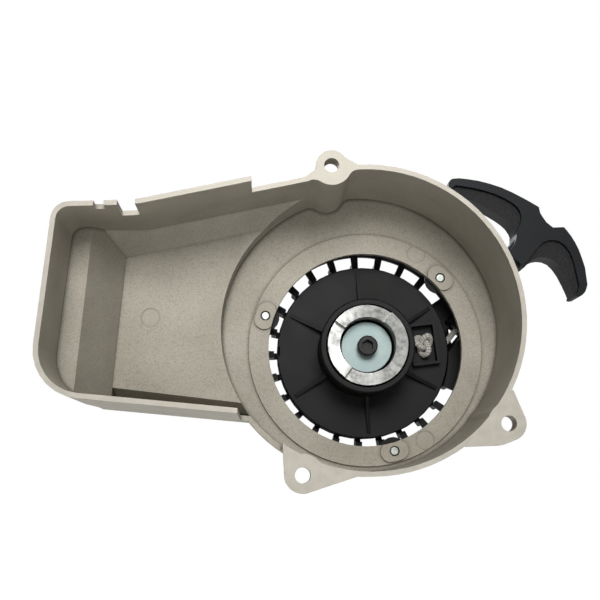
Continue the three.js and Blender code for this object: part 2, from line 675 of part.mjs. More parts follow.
// ---- recoil spring ----
function springCup() {
  const base = PLATE_TOP + GAP;
  return turned([[SPIGOT.outer + 0.5, base], [CUP.radius, base], [CUP.radius, REEL_BOTTOM - GAP],
    [CUP.radius - CUP.wall, REEL_BOTTOM - GAP], [CUP.radius - CUP.wall, base + CUP.wall],
    [SPIGOT.outer + 0.5, base + CUP.wall]], 32);
}

function recoilSpring() {
  const count = RECOIL.turns * RECOIL.steps;
  const outer = [];
  const inner = [];
  for (let k = 0; k <= count; k += 1) {
    const radius = THREE.MathUtils.lerp(RECOIL.inner, RECOIL.outer, k / count);
    const degrees = (k * 360) / RECOIL.steps;
    const far = polar(radius + RECOIL.strip, degrees);
    const near = polar(radius, degrees);
    outer.push([far.x, far.y]);
    inner.unshift([near.x, near.y]);
  }
  const bottom = PLATE_TOP + GAP + CUP.wall + GAP;
  return prism(polygon([...outer, ...inner]), bottom, REEL_BOTTOM - RECOIL.clearance);
}

// ---- rope ----
function ropeCoils() {
  const top = REEL_TOP - REEL_FLANGE - GAP;
  const bottom = top - GROOVE_WIDTH + 2 * GAP;
  const middle = (top + bottom) / 2;
  const inner = ROPE_LINE - 3 * ROPE_RADIUS;
  const outer = ROPE_LINE + ROPE_RADIUS;
  return turned([[inner, top], [outer - 0.5, top], [outer, top - 1], [outer, middle + 1], [outer - 0.7,
      middle],
    [outer, middle - 1], [outer, bottom + 1], [outer - 0.5, bottom], [inner, bottom]], 32);
}

function ropeKnot() {
  const spot = polar(POCKET.radius, POCKET.angle);
  const floor = REEL_TOP - 1 + GAP;
  const knot = new THREE.SphereGeometry(1, 12, 8);
  knot.scale(4.2, 5.6, 3);
  knot.rotateZ(THREE.MathUtils.degToRad(POCKET.angle));
  knot.translate(spot.x, spot.y, floor + 3);
  const tail = disc(spot, ROPE_RADIUS, REEL_TOP - REEL_FLANGE, floor + 2, 10);
  return solid(knot).add(tail);
}

function ropeLead() {
  return turnedOnRope([[0, LEAD_START], [ROPE_RADIUS, LEAD_START], [ROPE_RADIUS, HANDLE_START - GAP],
    [0, HANDLE_START - GAP]], 10);
}

function ropeGuide() {
  const start = DUCT.start + 1;
  const seat = DUCT.end + GAP;
  return turnedOnRope([[GUIDE.inner, start], [GUIDE.outer, start], [GUIDE.outer, seat], [GUIDE.flange, seat],
    [GUIDE.flange, seat + GUIDE.flangeThickness - 0.6],
    [GUIDE.flange - 0.6, seat + GUIDE.flangeThickness - 0.1],
    [GUIDE.inner + 0.8, seat + GUIDE.flangeThickness - 0.1], [GUIDE.inner, seat + 0.6]], 18);
}

// ---- handle ----
// outlines in [along the pull line, across it]
const GRIP_OUTLINE = [
  [[88, -7.2], [94, -8], [98.6, -11], [101.2, -16.6], [99.4, -24.6], [94.8, -33.8]],
  [[92.8, -37], [94.4, -38.8], [98, -39.4], [101.8, -38]],
  [[108.2, -31.7], [113.8, -23.5], [117.1, -16], [118.5, -10.2]],
  [[114.7, -6], [114.6, -1.5], [116.5, 4]],
  [[118.7, 6.4], [117.2, 16], [114.4, 28], [109.5, 39.6], [104, 48.4]],
  [[101.4, 51], [98.6, 51.2], [96.4, 48.8]],
  [[98.2, 40], [100.6, 30], [102.2, 20], [102.2, 12.4], [99.4, 6.6], [94.5, 4.4], [88, 4.2]],
];
const RECESS_UPPER = [
  [[99.8, 47.4], [105, 38.6], [109.4, 28.6], [111.4, 19.1], [110.6, 13.1], [107, 9.4], [101, 7.4], [94, 6]],
];
const RECESS_LOWER = [
  [[92, -6.4], [99, -6.2], [105.6, -7], [109.6, -10.4], [111, -15.2], [109.6, -20.8], [105.6, -26.8],
      [98.6, -35]],
];

function pullShape(runs, ends = []) {
  const points = runs.flatMap((run) => {
    if (run.length < 3) return run;
    const curve = new THREE.SplineCurve(run.map(([t, s]) => new THREE.Vector2(t, s)));
    return curve.getPoints((run.length - 1) * 2).map((spot) => [spot.x, spot.y]);
  });
  return polygon([...points, ...ends].map(([t, s]) => {
    const spot = pullPoint(t, -s);
    return [spot.x, spot.y];
  }));
}

function handleGrip() {
  const half = GRIP_THICKNESS / 2;
  const spineHalf = SPINE_THICKNESS / 2;
  const grip = prism(pullShape(GRIP_OUTLINE), HANDLE_LEVEL - half, HANDLE_LEVEL + half);
  const spine = prism(pullShape(GRIP_OUTLINE), HANDLE_LEVEL - spineHalf, HANDLE_LEVEL + spineHalf);
  const upper = pullShape(RECESS_UPPER, [[80, 6], [80, 48], [96, 48.4]]);
  const lower = pullShape(RECESS_LOWER, [[95, -36.4], [80, -34], [80, -6.4]]);
  const over = spineHalf + 1;
  const recesses = joined([
    prism(upper, HANDLE_LEVEL + half, HANDLE_LEVEL + over),
    prism(lower, HANDLE_LEVEL + half, HANDLE_LEVEL + over),
    prism(upper, HANDLE_LEVEL - over, HANDLE_LEVEL - half),
    prism(lower, HANDLE_LEVEL - over, HANDLE_LEVEL - half),
  ]);
  const stem = turnedOnRope([[0, HANDLE_START], [STEM_RADIUS, HANDLE_START], [STEM_RADIUS + 0.6, 100],
      [0, 100]], 18);
  const bore = turnedOnRope([[0, HANDLE_START - 1], [KNOT_ROOM.rope, HANDLE_START - 1],
    [KNOT_ROOM.rope, KNOT_ROOM.start], [KNOT_ROOM.radius, KNOT_ROOM.start], [KNOT_ROOM.radius,
        KNOT_ROOM.end], [CAP.radius, KNOT_ROOM.end],
    [CAP.radius, 125], [0, 125]], 14);
  return grip.add(spine.subtract(recesses)).add(stem).subtract(bore);
}

function handleKnot() {
  return turnedOnRope([[0, KNOT_ROOM.start + GAP], [2.2, KNOT_ROOM.start + GAP], [3.2, KNOT_ROOM.start + 2],
    [3.2, KNOT_ROOM.end - 2], [2, KNOT_ROOM.end - GAP], [0, KNOT_ROOM.end - GAP]], 12);
}

function handleCap() {
  const radius = CAP.radius - CAP.clearance;
  const start = KNOT_ROOM.end + GAP;
  const end = start + CAP.length;
  return turnedOnRope([[0, start], [radius, start], [radius, end - 0.6], [radius - 0.8, end], [0, end]], 14);
}

function ropeTail() {
  return turnedOnRope([[0, HANDLE_START + GAP], [ROPE_RADIUS, HANDLE_START + GAP], [ROPE_RADIUS,
      KNOT_ROOM.start],
    [0, KNOT_ROOM.start]], 10);
}

// ---- the assembly ----
const FINISH = {
  castAluminium: { color: 0xb4b0a4, roughness: 0.6, metalness: 0.7 },
  blackPlastic: { color: 0x1c1f20, roughness: 0.55, metalness: 0 },
  handlePlastic: { color: 0x20282d, roughness: 0.6, metalness: 0 },
  wornSteel: { color: 0xb9bcbc, roughness: 0.35, metalness: 1 },
  zincPlate: { color: 0xb7c4c3, roughness: 0.3, metalness: 1 },
  blackOxide: { color: 0x17181a, roughness: 0.4, metalness: 0.8 },
  springSteel: { color: 0x6c7075, roughness: 0.35, metalness: 1 },
  bronze: { color: 0xa47b45, roughness: 0.4, metalness: 1 },
  rope: { color: 0xcfcdc4, roughness: 0.9, metalness: 0 },
};

function part(name, manifold, finish) {
  const mesh = new THREE.Mesh(geometryOf(manifold), new THREE.MeshStandardMaterial(finish));
  mesh.name = name;
  return mesh;
}

const cover = new THREE.Group();
cover.add(part('side_cover', sideCover(), FINISH.castAluminium));
cover.add(part('starter_housing', starterHousing(), FINISH.blackPlastic));
RIVET_ANGLES.forEach((degrees, i) => cover.add(part(`rivet_${i + 1}`, rivet(degrees), FINISH.zincPlate)));
cover.add(part('centre_post', centrePost(), FINISH.springSteel));
cover.add(part('thrust_washer', thrustWasher(), FINISH.springSteel));
cover.add(part('retaining_washer', retainingWasher(), FINISH.zincPlate));
cover.add(part('centre_screw', centreScrew(), FINISH.blackOxide));
cover.add(part('spring_cup', springCup(), FINISH.springSteel));
cover.add(part('recoil_spring', recoilSpring(), FINISH.springSteel));
cover.add(part('rope_guide', ropeGuide(), FINISH.springSteel));
cover.add(part('rope_lead', ropeLead(), FINISH.rope));

const turning = new THREE.Group();
turning.add(part('reel', reel(), FINISH.blackPlastic));
turning.add(part('reel_bush', reelBush(), FINISH.bronze));
turning.add(part('rope_coils', ropeCoils(), FINISH.rope));
turning.add(part('rope_knot', ropeKnot(), FINISH.rope));
turning.add(part('dog_spring', dogSpring(), FINISH.springSteel));
turning.add(part('dog_ring', dogRing(), FINISH.wornSteel));

const handle = new THREE.Group();
handle.add(part('handle_grip', handleGrip(), FINISH.handlePlastic));
handle.add(part('rope_tail', ropeTail(), FINISH.rope));
handle.add(part('handle_knot', handleKnot(), FINISH.rope));
handle.add(part('handle_cap', handleCap(), FINISH.handlePlastic));

const starter = new THREE.Group();
starter.add(cover, turning, handle);
starter.rotation.x = Math.PI / 2;

export default starter;
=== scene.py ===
import json
from math import ceil, cos, radians, sin, tau

import bmesh
import bpy
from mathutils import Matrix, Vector

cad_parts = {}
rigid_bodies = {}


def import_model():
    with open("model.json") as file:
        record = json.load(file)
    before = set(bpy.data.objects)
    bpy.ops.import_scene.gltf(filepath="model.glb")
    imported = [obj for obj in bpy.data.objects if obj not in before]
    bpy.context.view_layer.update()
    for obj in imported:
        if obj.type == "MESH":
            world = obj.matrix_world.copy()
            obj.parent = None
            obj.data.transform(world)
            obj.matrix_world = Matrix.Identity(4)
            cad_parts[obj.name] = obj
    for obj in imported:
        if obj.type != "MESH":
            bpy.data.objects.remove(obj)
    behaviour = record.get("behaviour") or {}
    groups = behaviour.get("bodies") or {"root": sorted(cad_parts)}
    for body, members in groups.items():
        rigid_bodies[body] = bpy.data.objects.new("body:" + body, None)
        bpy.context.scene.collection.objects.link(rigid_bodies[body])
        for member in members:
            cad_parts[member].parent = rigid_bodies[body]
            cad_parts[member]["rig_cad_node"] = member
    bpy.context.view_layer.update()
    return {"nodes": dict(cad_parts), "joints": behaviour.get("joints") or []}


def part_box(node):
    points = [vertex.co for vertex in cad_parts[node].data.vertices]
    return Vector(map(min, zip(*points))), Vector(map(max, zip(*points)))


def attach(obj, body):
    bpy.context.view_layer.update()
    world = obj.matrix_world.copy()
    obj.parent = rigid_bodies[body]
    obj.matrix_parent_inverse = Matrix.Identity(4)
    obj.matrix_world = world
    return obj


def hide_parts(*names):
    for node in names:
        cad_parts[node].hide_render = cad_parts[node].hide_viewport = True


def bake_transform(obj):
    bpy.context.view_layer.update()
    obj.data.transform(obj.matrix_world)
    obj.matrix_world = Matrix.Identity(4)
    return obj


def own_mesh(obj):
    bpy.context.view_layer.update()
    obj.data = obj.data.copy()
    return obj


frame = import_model()

bl_info = {
    "name": "Recoil Starter Cover",
    "version": (1, 0, 0),
    "blender": (4, 5, 0),
    "location": "3D View > Sidebar > Starter",
    "description": "Finishes a die-cast engine side cover with a built-in recoil starter",
    "category": "Object",
}

MM = 0.001

MERGE_DISTANCE = 0.002 * MM  # vertices closer than this are one
FLAT_WITHIN = 0.6  # degrees between faces of one plane
SHARP_OVER = 32  # degrees, edges that get a radius
SMOOTH_UNDER = 38  # degrees, edges shaded smooth
LEVEL_TOLERANCE = 0.1 * MM  # how near a face lies to a level to be on it

BRAID_DEPTH = 0.08  # of the rope's radius, how far its strands rise and dive
LEAD_REACH = 12 * MM  # how far the lead runs back into the reel
ROPE_STEP = 0.4 * MM
COIL_STEPS = 72  # points in one turn on the reel
LAYER_PITCH = 0.95  # of the rope's diameter, between the two layers
LAYER_TURN = 0.4  # radians between the starts of the two layers
LAYER_TURNS = 2
KNOT_STEPS = 120
REEL_KNOT = 1.4 * MM
REEL_KNOT_RISE = 3.4 * MM  # of the knot's middle over the floor of its pocket
HANDLE_KNOT = 0.55 * MM

DOG_WIRE_RADIUS = 0.8 * MM
DOG_SPRING_TURNS = 4

REST_STEP = 2 * MM  # the finger rests lie this far under the grip's faces
STEP_EDGE = 0.35 * MM
STEP_SHARP_OVER = 40  # degrees
RIM_ANGLE = 60  # degrees, the least between a broad face of the grip and its outer wall
RIM_TOLERANCE = 0.05 * MM
TALL_WALL = 5 * MM  # the outer wall is taller than this and the steps are not
PLUG_EDGE = 0.4 * MM

FLOOR_SIZE = 60
FLOOR_GLOW = 0.8
CAMERA_PLACE = (-0.0492, -0.440, -0.0626)
CAMERA_RISE = 10.04  # degrees it looks up
CAMERA_TURN = -1.97


# ---- what the frame says ----


def joint(name):
    """The record's joint of that name."""
    return next(j for j in frame["joints"] if j["name"] == name)


PULL = Vector(joint("handle_pull")["axis"]).normalized()
REEL_AXIS = Vector((0, 1, 0))
ROPE_LOW, ROPE_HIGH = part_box("rope_lead")
TAIL_LOW, TAIL_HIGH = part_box("rope_tail")
GRIP_LOW, GRIP_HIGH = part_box("handle_grip")
COVER_LOW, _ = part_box("side_cover")
COIL_LOW, COIL_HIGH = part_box("rope_coils")
KNOT_LOW, KNOT_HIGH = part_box("rope_knot")


# ---- settings ----


class StageSettings(bpy.types.PropertyGroup):
    """Floor, lights and camera."""

    floor_drop: bpy.props.FloatProperty(
        name="Floor drop",
        description="How far the floor lies under the reel axis",
        default=0.27,
        unit="LENGTH",
    )
    floor_colour: bpy.props.FloatVectorProperty(
        name="Floor", description="Colour of the floor", default=(0.93, 0.93, 0.93), subtype="COLOR"
    )
    key_power: bpy.props.FloatProperty(
        name="Key light", description="Power of the key light", default=8.6, unit="POWER"
    )
    high_power: bpy.props.FloatProperty(
        name="High light", description="Power of the light overhead", default=2.0, unit="POWER"
    )
    back_power: bpy.props.FloatProperty(
        name="Back light", description="Power of the light behind", default=6.0, unit="POWER"
    )
    room_light: bpy.props.FloatProperty(name="Room", description="Brightness of the room", default=0.3)
    lens: bpy.props.FloatProperty(name="Lens", description="Focal length in millimetres", default=60.0)


class FinishSettings(bpy.types.PropertyGroup):
    """Edges of the metal and the plastic."""

    casting_edge: bpy.props.FloatProperty(
        name="Casting edge",
        description="Radius left on the casting's edges",
        default=0.28 * MM,
        unit="LENGTH",
    )
    moulded_edge: bpy.props.FloatProperty(
        name="Moulded edge", description="Radius on the moulded parts", default=0.35 * MM, unit="LENGTH"
    )
    machined_edge: bpy.props.FloatProperty(
        name="Machined edge",
        description="Chamfer on turned and pressed steel",
        default=0.18 * MM,
        unit="LENGTH",
    )
    grip_edge: bpy.props.FloatProperty(
        name="Grip edge", description="Radius round the pull handle", default=1.7 * MM, unit="LENGTH"
    )


class RopeSettings(bpy.types.PropertyGroup):
    """The starter rope."""

    diameter: bpy.props.FloatProperty(
        name="Diameter", description="Of the rope", default=3.0 * MM, unit="LENGTH"
    )
    braid_pitch: bpy.props.FloatProperty(
        name="Braid pitch", description="Length of one turn of a strand", default=9.0 * MM, unit="LENGTH"
    )
    strands: bpy.props.IntProperty(name="Strands", description="Strands that run each way", default=4)


# ---- materials ----


def linear(code):
    """An sRGB hex colour as the linear colour Blender works in."""
    parts = [int(code[i : i + 2], 16) / 255 for i in (1, 3, 5)]
    return [c / 12.92 if c <= 0.04045 else ((c + 0.055) / 1.055) ** 2.4 for c in parts] + [1.0]


def add(tree, kind, inputs=None, **settings):
    """Adds a node to a tree, sets it up, and plugs values or other nodes' sockets into it."""
    made = tree.nodes.new(kind)
    for name, value in settings.items():
        setattr(made, name, value)
    for name, value in (inputs or {}).items():
        socket = made.inputs[name]
        if isinstance(value, bpy.types.NodeSocket):
            tree.links.new(value, socket)
        else:
            socket.default_value = value
    return made


def new_material(name, **shader):
    """A material with an empty tree but for its shader and output."""
    material = bpy.data.materials.new(name)
    material.use_nodes = True
    tree = material.node_tree
    tree.nodes.clear()
    principled = add(tree, "ShaderNodeBsdfPrincipled", shader)
    add(tree, "ShaderNodeOutputMaterial", {"Surface": principled.outputs["BSDF"]})
    place = add(tree, "ShaderNodeTexCoord").outputs["Object"]
    return material, tree, principled, place


def ramp(tree, factor, stops):
    """A colour ramp from (position, hex colour) stops."""
    made = add(tree, "ShaderNodeValToRGB", {"Fac": factor})
    elements = made.color_ramp.elements
    while len(elements) < len(stops):
        elements.new(0.5)
    for element, (position, code) in zip(elements, stops):
        element.position = position
        element.color = linear(code)
    return made.outputs["Color"]


def multiplied(tree, first, second, share):
    """One colour darkened by another, by a share of its strength."""
    made = add(tree, "ShaderNodeMix", data_type="RGBA", blend_type="MULTIPLY")
    made.inputs[0].default_value = share
    tree.links.new(first, made.inputs[6])
    tree.links.new(second, made.inputs[7])
    return made.outputs[2]


def cast_aluminium():
    """Die-cast aluminium, shot-blasted: a pale warm grey, finely speckled, with painted shade darkening its
    corners.
    """
    material, tree, shader, place = new_material("die_cast_aluminium_shot_blasted", Metallic=0.4)
    grain = add(tree, "ShaderNodeTexNoise", {"Vector": place, "Scale": 1 / (0.42 * MM), "Detail": 2.0})
    flow = add(
        tree, "ShaderNodeTexNoise", {"Vector": place, "Scale": 1 / (30 * MM), "Detail": 5.0, "Roughness": 0.6}
    )
    pale = ramp(tree, flow.outputs["Fac"], [(0.3, "#a19c8f"), (0.52, "#aba699"), (0.72, "#b3aea2")])
    speck = ramp(tree, grain.outputs["Fac"], [(0.3, "#c6c3bb"), (0.5, "#ffffff")])
    specked = multiplied(tree, pale, speck, 0.8)
    # Painted shade: an ambient occlusion mask darkens the colour in corners, crevices and at the feet of
    # walls.
    corners = add(tree, "ShaderNodeAmbientOcclusion", {"Distance": 2.0 * MM}, samples=4, only_local=True)
    painted_corner_shade = ramp(tree, corners.outputs["AO"], [(0.4, "#3d382f"), (0.92, "#ffffff")])
    tree.links.new(multiplied(tree, specked, painted_corner_shade, 0.85), shader.inputs["Base Color"])
    rough = add(tree, "ShaderNodeMapRange", {"Value": grain.outputs["Fac"], "To Min": 0.5, "To Max": 0.66})
    tree.links.new(rough.outputs["Result"], shader.inputs["Roughness"])
    bump = add(
        tree, "ShaderNodeBump", {"Height": grain.outputs["Fac"], "Strength": 0.5, "Distance": 0.06 * MM}
    )
    tree.links.new(bump.outputs["Normal"], shader.inputs["Normal"])
    return material


def milled_aluminium():
    """The same casting where a cutter faced it: brighter, smoother than the blasted skin, lightly clouded."""
    material, tree, shader, place = new_material("aluminium_face_milled", Metallic=0.4)
    cloud = add(tree, "ShaderNodeTexNoise", {"Vector": place, "Scale": 1 / (5 * MM), "Detail": 4.0})
    tone = ramp(tree, cloud.outputs["Fac"], [(0.3, "#aca79b"), (0.7, "#bab5a9")])
    tree.links.new(tone, shader.inputs["Base Color"])
    rough = add(tree, "ShaderNodeMapRange", {"Value": cloud.outputs["Fac"], "To Min": 0.45, "To Max": 0.58})
    tree.links.new(rough.outputs["Result"], shader.inputs["Roughness"])
    return material


def peened_aluminium():
    """Soft aluminium rivet, set with a hammer: grey, smooth and a little dented."""
    material, tree, shader, place = new_material("aluminium_rivet_peened", Metallic=0.75)
    dents = add(tree, "ShaderNodeTexNoise", {"Vector": place, "Scale": 1 / (1.2 * MM), "Detail": 2.0})
    tone = ramp(tree, dents.outputs["Fac"], [(0.35, "#a5aaa5"), (0.65, "#c3c8c3")])
    tree.links.new(tone, shader.inputs["Base Color"])
    rough = add(tree, "ShaderNodeMapRange", {"Value": dents.outputs["Fac"], "To Min": 0.35, "To Max": 0.5})
    tree.links.new(rough.outputs["Result"], shader.inputs["Roughness"])
    bump = add(
        tree, "ShaderNodeBump", {"Height": dents.outputs["Fac"], "Strength": 0.4, "Distance": 0.1 * MM}
    )
    tree.links.new(bump.outputs["Normal"], shader.inputs["Normal"])
    return material


def moulded_nylon():
    """Glass-filled nylon, injection-moulded: near black, semi-matte, with a cloudy bloom of dust."""
    material, tree, shader, place = new_material(
        "glass_filled_nylon_moulded", **{"Specular IOR Level": 0.25}
    )
    bloom = add(tree, "ShaderNodeTexNoise", {"Vector": place, "Scale": 1 / (14 * MM), "Detail": 5.0})
    fibre = add(tree, "ShaderNodeTexNoise", {"Vector": place, "Scale": 1 / (0.6 * MM), "Detail": 2.0})
    tone = ramp(tree, bloom.outputs["Fac"], [(0.3, "#0b0c0d"), (0.55, "#101112"), (0.8, "#1a1815")])
    tree.links.new(tone, shader.inputs["Base Color"])
    rough = add(tree, "ShaderNodeMapRange", {"Value": bloom.outputs["Fac"], "To Min": 0.42, "To Max": 0.62})
    tree.links.new(rough.outputs["Result"], shader.inputs["Roughness"])
    bump = add(
        tree, "ShaderNodeBump", {"Height": fibre.outputs["Fac"], "Strength": 0.2, "Distance": 0.04 * MM}
    )
    tree.links.new(bump.outputs["Normal"], shader.inputs["Normal"])
    return material


def worn_steel():
    """Hardened steel, ground and then rubbed bright: mirror patches between dull, scuffed ones."""
    material, tree, shader, place = new_material("hardened_steel_rubbed_bright", Metallic=1.0)
    scuff = add(
        tree,
        "ShaderNodeTexNoise",
        {"Vector": place, "Scale": 1 / (3.5 * MM), "Detail": 6.0, "Roughness": 0.7},
    )
    patch = add(tree, "ShaderNodeTexNoise", {"Vector": place, "Scale": 1 / (11 * MM), "Detail": 2.0})
    tone = ramp(tree, scuff.outputs["Fac"], [(0.3, "#6a6b69"), (0.5, "#a6a6a3"), (0.75, "#c6c6c2")])
    tree.links.new(tone, shader.inputs["Base Color"])
    rough = add(
        tree,
        "ShaderNodeMapRange",
        {"Value": patch.outputs["Fac"], "From Min": 0.35, "From Max": 0.65, "To Min": 0.32, "To Max": 0.55},
    )
    tree.links.new(rough.outputs["Result"], shader.inputs["Roughness"])
    bump = add(
        tree, "ShaderNodeBump", {"Height": scuff.outputs["Fac"], "Strength": 0.3, "Distance": 0.08 * MM}
    )
    tree.links.new(bump.outputs["Normal"], shader.inputs["Normal"])
    return material


def zinc_plate():
    """Steel with bright zinc plate: a cool, faintly blue-green satin with soft clouds."""
    material, tree, shader, place = new_material("steel_zinc_plated", Metallic=0.9)
    cloud = add(tree, "ShaderNodeTexNoise", {"Vector": place, "Scale": 1 / (8 * MM), "Detail": 3.0})
    tone = ramp(tree, cloud.outputs["Fac"], [(0.3, "#8b9a99"), (0.6, "#98a6a4"), (0.8, "#a5afad")])
    tree.links.new(tone, shader.inputs["Base Color"])
    rough = add(tree, "ShaderNodeMapRange", {"Value": cloud.outputs["Fac"], "To Min": 0.42, "To Max": 0.58})
    tree.links.new(rough.outputs["Result"], shader.inputs["Roughness"])
    return material


def black_oxide():
    """Alloy steel, blackened in hot oxide: oily black with a soft sheen on its edges."""
    material, tree, shader, place = new_material("alloy_steel_black_oxide", Metallic=0.7)
    film = add(tree, "ShaderNodeTexNoise", {"Vector": place, "Scale": 1 / (1.5 * MM), "Detail": 3.0})
    tone = ramp(tree, film.outputs["Fac"], [(0.3, "#141414"), (0.7, "#2a2927")])
    tree.links.new(tone, shader.inputs["Base Color"])
    rough = add(tree, "ShaderNodeMapRange", {"Value": film.outputs["Fac"], "To Min": 0.28, "To Max": 0.45})
    tree.links.new(rough.outputs["Result"], shader.inputs["Roughness"])
    return material


def spring_steel():
    """Carbon spring steel, rolled and blued: dark grey with a straw and blue temper film."""
    material, tree, shader, place = new_material("spring_steel_rolled_blued", Metallic=1.0)
    film = add(tree, "ShaderNodeTexNoise", {"Vector": place, "Scale": 1 / (9 * MM), "Detail": 3.0})
    tone = ramp(tree, film.outputs["Fac"], [(0.3, "#585c63"), (0.55, "#6e7073"), (0.75, "#7d776b")])
    tree.links.new(tone, shader.inputs["Base Color"])
    rough = add(tree, "ShaderNodeMapRange", {"Value": film.outputs["Fac"], "To Min": 0.25, "To Max": 0.42})
    tree.links.new(rough.outputs["Result"], shader.inputs["Roughness"])
    return material


def sintered_bronze():
    """Bronze pressed from powder and oiled: dull gold, pitted at the size of its grains."""
    material, tree, shader, place = new_material("bronze_sintered_oiled", Metallic=1.0)
    pits = add(tree, "ShaderNodeTexVoronoi", {"Vector": place, "Scale": 1 / (0.5 * MM)})
    tone = ramp(tree, pits.outputs["Distance"], [(0.1, "#6f5430"), (0.6, "#a98450")])
    tree.links.new(tone, shader.inputs["Base Color"])
    rough = add(
        tree, "ShaderNodeMapRange", {"Value": pits.outputs["Distance"], "To Min": 0.55, "To Max": 0.35}
    )
    tree.links.new(rough.outputs["Result"], shader.inputs["Roughness"])
    return material


def braided_polyester():
    """Polyester yarn, braided: greyish white strands, with painted shade dark in the dips where they dive
    under.
    """
    material, tree, shader, place = new_material("polyester_rope_braided", Roughness=0.85)
    shader.inputs["Sheen Weight"].default_value = 0.3
    gap = add(tree, "ShaderNodeAttribute", attribute_name="braid_height").outputs["Fac"]
    yarn = add(tree, "ShaderNodeTexNoise", {"Vector": place, "Scale": 1 / (0.35 * MM), "Detail": 2.0})
    # Painted shade: the colour darkens with the braid's height, in the dips where the strands dive under.
    shade = ramp(tree, gap, [(0.12, "#4e4c48"), (0.42, "#b5b2a9"), (0.75, "#dfdcd3")])
    tree.links.new(shade, shader.inputs["Base Color"])
    bump = add(
        tree, "ShaderNodeBump", {"Height": yarn.outputs["Fac"], "Strength": 0.6, "Distance": 0.12 * MM}
    )
    tree.links.new(bump.outputs["Normal"], shader.inputs["Normal"])
    return material


def smooth_polypropylene():
    """Polypropylene moulded against polished steel: blue-black, with a broad soft gloss."""
    material, tree, shader, place = new_material(
        "polypropylene_moulded_smooth", **{"Specular IOR Level": 0.22}
    )
    cloud = add(tree, "ShaderNodeTexNoise", {"Vector": place, "Scale": 1 / (10 * MM), "Detail": 4.0})
    fine = add(tree, "ShaderNodeTexNoise", {"Vector": place, "Scale": 1 / (0.8 * MM), "Detail": 2.0})
    tone = ramp(tree, cloud.outputs["Fac"], [(0.3, "#0c1013"), (0.7, "#11151a")])
    tree.links.new(tone, shader.inputs["Base Color"])
    rough = add(tree, "ShaderNodeMapRange", {"Value": cloud.outputs["Fac"], "To Min": 0.4, "To Max": 0.52})
    tree.links.new(rough.outputs["Result"], shader.inputs["Roughness"])
    bump = add(
        tree, "ShaderNodeBump", {"Height": fine.outputs["Fac"], "Strength": 0.15, "Distance": 0.05 * MM}
    )
    tree.links.new(bump.outputs["Normal"], shader.inputs["Normal"])
    return material


def grained_polypropylene():
    """The same polypropylene against an etched mould: leathery pebbles that keep fingers from slipping."""
    material, tree, shader, place = new_material(
        "polypropylene_moulded_grained", Roughness=0.6, **{"Specular IOR Level": 0.35}
    )
    pebbles = add(
        tree, "ShaderNodeTexVoronoi", {"Vector": place, "Scale": 1 / (1.1 * MM)}, feature="SMOOTH_F1"
    )
    tone = ramp(tree, pebbles.outputs["Distance"], [(0.15, "#121112"), (0.7, "#060606")])
    tree.links.new(tone, shader.inputs["Base Color"])
    bump = add(
        tree,
        "ShaderNodeBump",
        {"Height": pebbles.outputs["Distance"], "Strength": 0.7, "Distance": 0.2 * MM},
        invert=True,
    )
    tree.links.new(bump.outputs["Normal"], shader.inputs["Normal"])
    return material


MAKERS = {
    "cast": cast_aluminium,
    "milled": milled_aluminium,
    "peened": peened_aluminium,
    "nylon": moulded_nylon,
    "steel": worn_steel,
    "zinc": zinc_plate,
    "oxide": black_oxide,
    "spring": spring_steel,
    "bronze": sintered_bronze,
    "rope": braided_polyester,
    "smooth": smooth_polypropylene,
    "grain": grained_polypropylene,
}
made_materials = {}


def material(key):
    """The shared material of that key, made the first time it is asked for."""
    if key not in made_materials:
        made_materials[key] = MAKERS[key]()
    return made_materials[key]


# ---- making pieces ----


def only(obj):
    """Makes obj the one selected and active object."""
    bpy.ops.object.select_all(action="DESELECT")
    obj.select_set(True)
    bpy.context.view_layer.objects.active = obj


def copy_of(node, name):
    """A merged copy of a CAD node, with its flat faces whole, ready for its edges to be worked."""
    only(frame["nodes"][node])
    bpy.ops.object.duplicate()
    copy = bpy.context.active_object
    copy.name = name
    del copy["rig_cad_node"]
    bpy.ops.object.parent_clear(type="CLEAR_KEEP_TRANSFORM")
    copy.data.materials.clear()
    bpy.ops.object.mode_set(mode="EDIT")
    bpy.ops.mesh.select_all(action="SELECT")
    bpy.ops.mesh.remove_doubles(threshold=MERGE_DISTANCE)
    bpy.ops.mesh.dissolve_limited(angle_limit=radians(FLAT_WITHIN))
    bpy.ops.mesh.select_all(action="DESELECT")
    bpy.ops.object.mode_set(mode="OBJECT")
    return copy


def bevel_edges(obj, width, angle=SHARP_OVER):
    """Rounds every sharp edge of a piece."""
    only(obj)
    edge = obj.modifiers.new("Edge radius", "BEVEL")
    edge.limit_method = "ANGLE"
    edge.angle_limit = radians(angle)
    edge.width = width
    edge.segments = 2
    edge.use_clamp_overlap = True
    edge.harden_normals = False
    bpy.ops.object.modifier_apply(modifier=edge.name)
    bpy.ops.object.shade_smooth_by_angle(angle=radians(SMOOTH_UNDER))
    even = obj.modifiers.new("Even shading", "WEIGHTED_NORMAL")
    even.keep_sharp = True
    bpy.ops.object.modifier_apply(modifier=even.name)


def dress(obj, body, keys, slot, *nodes):
    """Gives a piece its materials and its body, and hides the nodes it stands for; its slot is not used."""
    for key in keys:
        obj.data.materials.append(material(key))
    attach(obj, body)
    if nodes:
        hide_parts(*nodes)
    return obj


def paint_faces(obj, index, test):
    """Gives material slot index to the faces that pass a test of centre and normal."""
    for face in obj.data.polygons:
        if test(face.center, face.normal):
            face.material_index = index


def finished_copy(node, name, body, keys, slot, width):
    """A bevelled and dressed copy of a CAD node."""
    copy = copy_of(node, name)
    bevel_edges(copy, width)
    return dress(copy, body, keys, slot, node)


